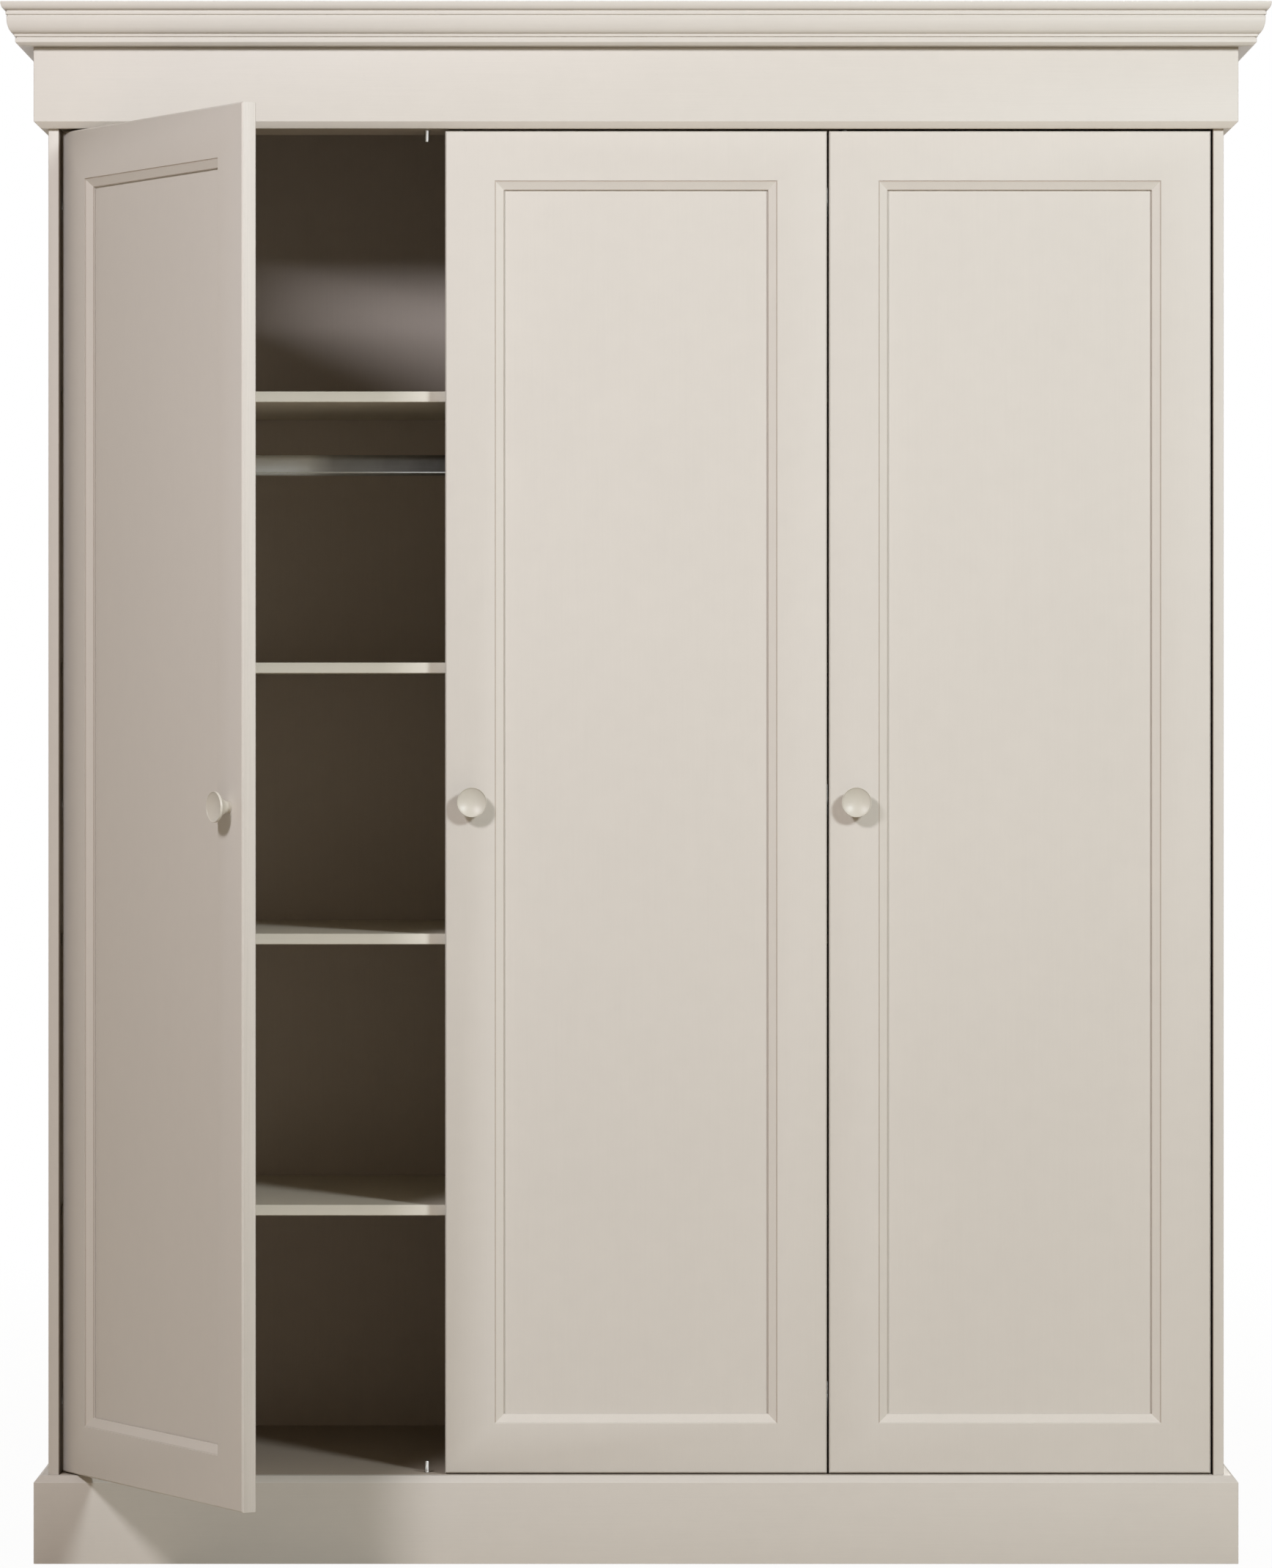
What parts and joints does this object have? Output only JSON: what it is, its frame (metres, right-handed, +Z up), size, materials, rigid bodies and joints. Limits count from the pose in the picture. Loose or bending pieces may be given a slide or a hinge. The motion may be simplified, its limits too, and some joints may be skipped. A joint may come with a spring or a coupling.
{
  "type": "wardrobe",
  "caption": "Freestanding wardrobe with inset panelled doors on concealed hinges, shelves and an oval hanging rail, between a chamfered plinth and a frieze with a moulded cornice.",
  "frame": {"origin": "on the floor at mid-width, under the middle of the plinth's front board", "axes": "+Z up, +Y towards the back, +X to the right as seen from the front"},
  "size_m": [1.7752, 1.0322, 2.1876],
  "materials": {
    "carcass_paint": "warm off-white satin paint over embossed grain",
    "trim_paint": "warm off-white satin paint over embossed grain",
    "door_paint": "warm off-white satin paint over embossed grain",
    "shelf_paint": "warm off-white satin paint over embossed grain",
    "knob_paint": "turned wood, satin paint",
    "back_sheet": "thin hardboard, painted inside, raw outside",
    "rail_steel": "chrome-plated steel tube",
    "socket_zinc": "zinc die casting",
    "stop_zinc": "bright zinc-plated pin",
    "hinge_nickel": "nickel-plated pressed steel"
  },
  "bodies": {
    "carcass": {"side_panel_left": "carcass_paint", "side_panel_right": "carcass_paint", "centre_partition": "carcass_paint", "top_panel": "carcass_paint", "bottom_panel": "carcass_paint", "head_rail": "carcass_paint", "back_panel": "back_sheet", "plinth_front": "trim_paint", "plinth_side_left": "trim_paint", "plinth_side_right": "trim_paint", "frieze_front": "trim_paint", "frieze_side_left": "trim_paint", "frieze_side_right": "trim_paint", "cornice_front": "trim_paint", "cornice_side_left": "trim_paint", "cornice_side_right": "trim_paint", "shelf_left_1": "shelf_paint", "shelf_left_2": "shelf_paint", "shelf_left_3": "shelf_paint", "shelf_left_4": "shelf_paint", "shelf_right_1": "shelf_paint", "shelf_right_2": "shelf_paint", "shelf_right_3": "shelf_paint", "shelf_right_4": "shelf_paint", "hanging_rail": "rail_steel", "rail_socket_left": "socket_zinc", "rail_socket_right": "socket_zinc", "door_stop_left_lower": "stop_zinc", "door_stop_left_upper": "stop_zinc", "door_stop_middle_lower": "stop_zinc", "door_stop_middle_upper": "stop_zinc", "door_stop_right_lower": "stop_zinc", "door_stop_right_upper": "stop_zinc", "hinge_arm_left_lower": "hinge_nickel", "hinge_arm_left_middle": "hinge_nickel", "hinge_arm_left_upper": "hinge_nickel", "hinge_arm_middle_lower": "hinge_nickel", "hinge_arm_middle_middle": "hinge_nickel", "hinge_arm_middle_upper": "hinge_nickel", "hinge_arm_right_lower": "hinge_nickel", "hinge_arm_right_middle": "hinge_nickel", "hinge_arm_right_upper": "hinge_nickel"},
    "left_door": {"door_frame_left": "door_paint", "door_panel_left": "door_paint", "door_knob_left": "knob_paint", "hinge_cup_left_lower": "hinge_nickel", "hinge_cup_left_middle": "hinge_nickel", "hinge_cup_left_upper": "hinge_nickel"},
    "middle_door": {"door_frame_middle": "door_paint", "door_panel_middle": "door_paint", "door_knob_middle": "knob_paint", "hinge_cup_middle_lower": "hinge_nickel", "hinge_cup_middle_middle": "hinge_nickel", "hinge_cup_middle_upper": "hinge_nickel"},
    "right_door": {"door_frame_right": "door_paint", "door_panel_right": "door_paint", "door_knob_right": "knob_paint", "hinge_cup_right_lower": "hinge_nickel", "hinge_cup_right_middle": "hinge_nickel", "hinge_cup_right_upper": "hinge_nickel"}
  },
  "joints": [
    {"name": "left_door_hinge", "type": "hinge", "parent": "carcass", "child": "left_door", "pos_m": [-0.78781, 0.022, 1.0684], "axis": [0, 0, -1], "range_deg": [-58.2, 41.8]},
    {"name": "middle_door_hinge", "type": "hinge", "parent": "carcass", "child": "middle_door", "pos_m": [0.24821, 0.022, 1.0684], "axis": [0, 0, 1], "range_deg": [0, 100]},
    {"name": "right_door_hinge", "type": "hinge", "parent": "carcass", "child": "right_door", "pos_m": [0.78781, 0.022, 1.0684], "axis": [0, 0, 1], "range_deg": [0, 100]}
  ]
}
